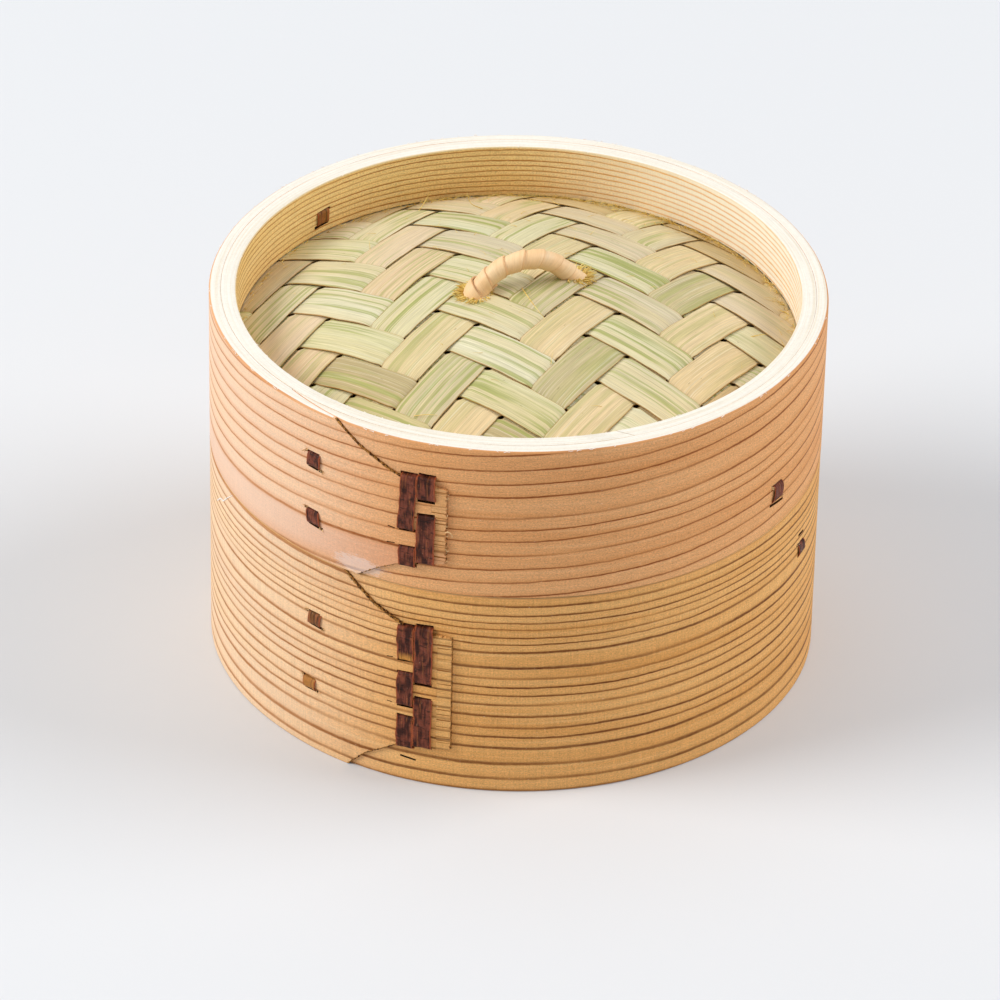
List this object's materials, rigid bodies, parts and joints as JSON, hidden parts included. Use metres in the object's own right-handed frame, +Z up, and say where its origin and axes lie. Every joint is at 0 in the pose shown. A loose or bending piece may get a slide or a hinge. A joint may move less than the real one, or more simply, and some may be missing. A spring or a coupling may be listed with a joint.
{
  "type": "steamer basket",
  "caption": "Round steamer basket of bent cedar hoops with a slatted bamboo floor and a lift-off lid whose domed top is woven from bamboo strips and carries a small wrapped handle.",
  "frame": {"origin": "centre of the basket's bottom edge, on the plane it stands on", "axes": "+Z up through the middle of the lid; -Y towards the side with the laced laps; +X to the right as seen from that side"},
  "size_m": [0.18, 0.18, 0.1259],
  "materials": {
    "cedar_lid": "bare bent cedar, pinkish tan with thin reddish growth lines running round the hoop, sanded but not sealed",
    "cedar_basket": "bare bent cedar, yellower than the lid, with closer and darker growth lines",
    "cedar_inner": "bare pale cedar with orange-brown growth lines, nearly white on its cut edges",
    "bamboo_warp": "split bamboo, straw yellow with green and grey streaks along the strip, slight sheen",
    "bamboo_weft": "split bamboo, pale green with darker green streaks along the strip, slight sheen",
    "bamboo_floor": "planed bamboo, warm straw with fine fibres, matt",
    "rattan": "peach-tan peel, smooth and slightly waxy",
    "bark": "cherry bark, dark purple-brown with orange-red edges, semi-gloss"
  },
  "bodies": {
    "basket": {"basket_outer_hoop": "cedar_basket", "basket_upper_inner_hoop": "cedar_inner", "basket_lower_inner_hoop": "cedar_inner", "floor_slat_1": "bamboo_floor", "floor_slat_2": "bamboo_floor", "floor_slat_3": "bamboo_floor", "floor_slat_4": "bamboo_floor", "floor_slat_5": "bamboo_floor", "floor_slat_6": "bamboo_floor", "floor_slat_7": "bamboo_floor", "floor_slat_8": "bamboo_floor", "floor_slat_9": "bamboo_floor", "floor_batten_front": "bamboo_floor", "floor_batten_back": "bamboo_floor", "floor_support_bar_front": "bamboo_floor", "floor_support_bar_back": "bamboo_floor", "basket_lacing_left": "bark", "basket_lacing_right": "bark", "basket_tie_upper_left": "bark", "basket_tie_upper_right": "bark", "basket_tie_upper_back": "bark", "basket_tie_lower_left": "bark", "basket_tie_lower_back": "bark"},
    "lid": {"lid_outer_hoop": "cedar_lid", "lid_upper_inner_hoop": "cedar_inner", "lid_lower_inner_hoop": "cedar_inner", "lid_warp_strip_01": "bamboo_warp", "lid_warp_strip_02": "bamboo_warp", "lid_warp_strip_03": "bamboo_warp", "lid_warp_strip_04": "bamboo_warp", "lid_warp_strip_05": "bamboo_warp", "lid_warp_strip_06": "bamboo_warp", "lid_warp_strip_07": "bamboo_warp", "lid_warp_strip_08": "bamboo_warp", "lid_warp_strip_09": "bamboo_warp", "lid_warp_strip_10": "bamboo_warp", "lid_warp_strip_11": "bamboo_warp", "lid_warp_strip_12": "bamboo_warp", "lid_weft_strip_01": "bamboo_weft", "lid_weft_strip_02": "bamboo_weft", "lid_weft_strip_03": "bamboo_weft", "lid_weft_strip_04": "bamboo_weft", "lid_weft_strip_05": "bamboo_weft", "lid_weft_strip_06": "bamboo_weft", "lid_weft_strip_07": "bamboo_weft", "lid_weft_strip_08": "bamboo_weft", "lid_weft_strip_09": "bamboo_weft", "lid_weft_strip_10": "bamboo_weft", "lid_weft_strip_11": "bamboo_weft", "lid_weft_strip_12": "bamboo_weft", "lid_weft_strip_13": "bamboo_weft", "handle_core": "rattan", "handle_wrap": "rattan", "lid_lacing_left": "bark", "lid_lacing_right": "bark", "lid_tie_upper_left": "bark", "lid_tie_upper_back": "bark", "lid_tie_lower_left": "bark", "lid_tie_lower_right": "bark", "lid_tie_lower_back": "bark"}
  },
  "joints": [
    {"name": "lid_lift", "type": "slide", "parent": "basket", "child": "lid", "axis": [0, 0, 1], "range_m": [0, 0.09]}
  ]
}
